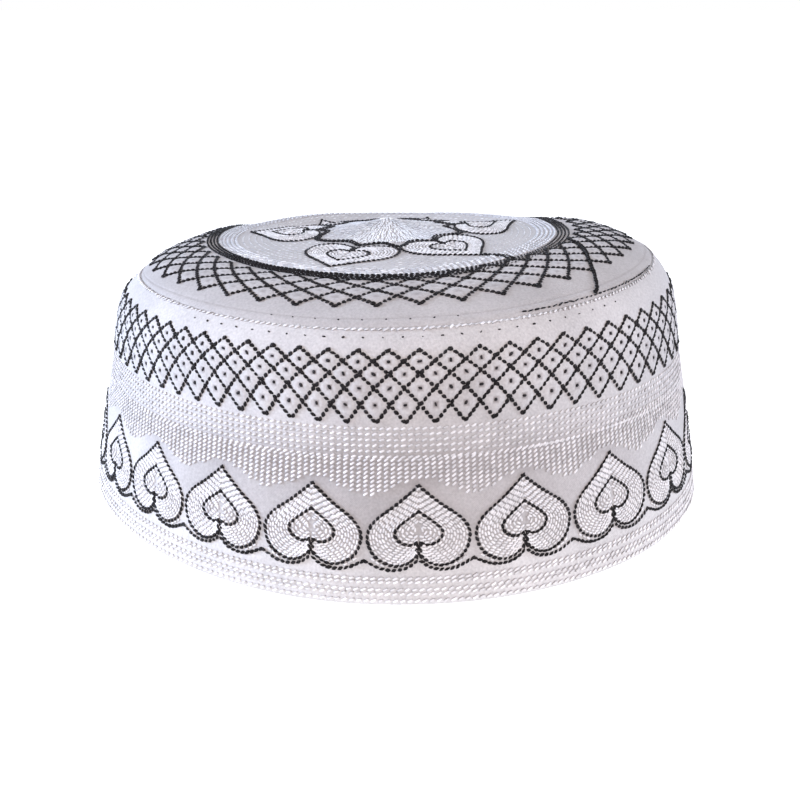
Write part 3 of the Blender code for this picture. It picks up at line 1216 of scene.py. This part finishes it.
def disc_line(points):
    """A path through these places on the disc."""
    line = smooth_through(points, 8)
    return line[:, 0], way_to_radius(line[:, 1] * MM) / MM


travel_runs = [black_run(disc_line(HEART_TO_RING)), black_run(disc_line(RING_TO_SEAM), 1.15, 0.45)]
beside = np.array(HEART_TO_RING) + BESIDE
travel_runs.append(black_run(disc_line(beside)))
travel_line = lay("travel_line", travel_runs, CHAIN_LINK, BLACK_THREAD)
dashes = [stitched(disc_line(ALONG_SEAM), 1.9, (1.7, 0.5, 0.5), lift=0.1, uneven=0.2)]
tacking_line = lay("tacking_line", dashes, FLAT_STITCH, BLACK_THREAD)

# %% [markdown]
# ## Floor and light
#
# A white thing on white needs soft light that is not quite even. One warm panel stands in front, and
# cooler ones at the sides and behind let the thread gleam. The cap stands on a table which is plain white
# to the camera. To everything else the grey table also glows in a ring close to the hem, a painted light
# that brightens the hem from below.

# %% Floor, sky and panels
floor_bm = bmesh.new()
bmesh.ops.create_grid(floor_bm, x_segments=1, y_segments=1, size=6.0)
floor_mesh = bpy.data.meshes.new("floor")
floor_bm.to_mesh(floor_mesh)
floor_bm.free()
floor = placed("floor", floor_mesh)
floor.location.z = -0.0005
floor_paint = bpy.data.materials.new("pale_floor")
floor_paint.use_nodes = True
floor_tree = floor_paint.node_tree
floor_shader = floor_tree.nodes["Principled BSDF"]
floor_shader.inputs["Base Color"].default_value = (0.42, 0.43, 0.46, 1.0)
floor_shader.inputs["Roughness"].default_value = 0.9
floor_shader.inputs["Emission Color"].default_value = (1.0, 1.0, 1.0, 1.0)
# Painted light: away from the camera, the floor glows in a ring round the hem and fades outside it
floor_place = add_node(floor_tree, "ShaderNodeTexCoord").outputs["Object"]
from_cap = add_node(floor_tree, "ShaderNodeVectorMath", {0: floor_place}, operation="LENGTH").outputs["Value"]
pool_ends = {"From Min": 0.105, "From Max": 0.135, "To Min": 1.08, "To Max": 0.05}
pool = add_node(floor_tree, "ShaderNodeMapRange", {"Value": from_cap, **pool_ends}).outputs["Result"]
floor_ray = add_node(floor_tree, "ShaderNodeLightPath").outputs["Is Camera Ray"]
glow = add_node(floor_tree, "ShaderNodeMix", {"Factor": floor_ray, "A": pool, "B": 1.0})
floor_tree.links.new(glow.outputs["Result"], floor_shader.inputs["Emission Strength"])
floor_mesh.materials.append(floor_paint)

sky = bpy.data.worlds.new("sky")
bpy.context.scene.world = sky
sky.use_nodes = True
sky_tree = sky.node_tree
lighting_sky = sky_tree.nodes["Background"]
lighting_sky.inputs["Color"].default_value = (0.93, 0.95, 1.0, 1.0)
lighting_sky.inputs["Strength"].default_value = 0.26
seen_sky = add_node(sky_tree, "ShaderNodeBackground", {"Color": (1.0, 1.0, 1.0, 1.0), "Strength": 1.0})
sky_ray = add_node(sky_tree, "ShaderNodeLightPath").outputs["Is Camera Ray"]
skies = {"Fac": sky_ray, 1: lighting_sky.outputs[0], 2: seen_sky.outputs[0]}
either_sky = add_node(sky_tree, "ShaderNodeMixShader", skies)
sky_tree.links.new(either_sky.outputs[0], sky_tree.nodes["World Output"].inputs["Surface"])


def panel(name, place, size, power, colour):
    """A soft square light that faces the cap."""
    light = bpy.data.lights.new(name, "AREA")
    light.size = size
    light.energy = power
    light.color = colour
    lamp = placed(name, light)
    lamp.location = place
    lamp.rotation_euler = (Vector((0, 0, 0.04)) - Vector(place)).to_track_quat("-Z", "Y").to_euler()


panel("panel_left", (-1.2, -0.1, 0.4), 0.45, 20.0, (0.71, 0.81, 1.0))
panel("panel_back", (0.1, 1.2, 0.6), 0.6, 6.0, (0.74, 0.84, 1.0))
panel("panel_right", (1.25, 0.0, 0.4), 0.45, 9.5, (0.80, 0.86, 1.0))
panel("panel_front", (0.1, -1.08, 0.68), 0.45, 9.0, (1.0, 0.865, 0.825))
bpy.context.scene.view_settings.view_transform = "Standard"
print("floor and", len(bpy.data.lights), "panels")

# %% [markdown]
# ## Join the looks to the model
#
# All is sewn together and nothing moves, so every piece rides on the one body. The two cloth pieces stand
# for the two CAD solids and take their place: a strip for the side, and a round for the top. The stitches
# go with the sheet they are sewn in.

# %% Ride and replace
for stitch in (CHAIN_LINK, FLAT_STITCH):
    bpy.data.objects.remove(stitch)
black_on_side = [side_diamonds, side_knots, side_hearts, needle_holes]
white_on_side = [side_heart_fill, side_rows, side_field, hem_rows, seam_chain]
black_on_disc = [disc_diamonds, disc_rings, disc_hearts, travel_line, tacking_line]
white_on_disc = [disc_heart_fill, disc_fill]
for piece in (side_cloth, disc_cloth, *white_on_side, *white_on_disc):
    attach(piece, "root")
for piece in (*black_on_side, *black_on_disc):
    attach(piece, "root")
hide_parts("side_band")
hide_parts("crown_top")
